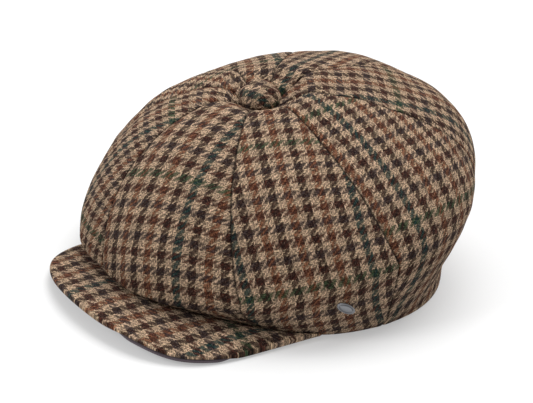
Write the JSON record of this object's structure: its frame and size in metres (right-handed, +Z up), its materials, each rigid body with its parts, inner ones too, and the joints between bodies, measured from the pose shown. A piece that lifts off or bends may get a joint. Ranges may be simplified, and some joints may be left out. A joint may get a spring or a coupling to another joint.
{
  "type": "baker boy cap",
  "caption": "Soft panelled tweed cap with a full crown, a covered button and a short stiff peak, lying on its hem as it rests unworn.",
  "frame": {"origin": "middle of the cap's footprint, on the surface it rests on", "axes": "+Z up through the crown, -Y towards the peak, +X towards the wearer's left"},
  "size_m": [0.2566, 0.283, 0.1268],
  "materials": {
    "tweed": "brushed wool tweed, houndstooth with a windowpane overcheck",
    "peak_lining": "smooth dark under-peak cloth",
    "pin_metal": "polished"
  },
  "bodies": {
    "root": {"crown_gore_1": "tweed", "crown_gore_2": "tweed", "crown_gore_3": "tweed", "crown_gore_4": "tweed", "crown_gore_5": "tweed", "crown_gore_6": "tweed", "crown_gore_7": "tweed", "crown_gore_8": "tweed", "crown_button": "tweed", "peak_cover": "tweed", "peak_lining": "peak_lining", "pin": "pin_metal", "pin_clutch": "pin_metal"}
  },
  "joints": []
}
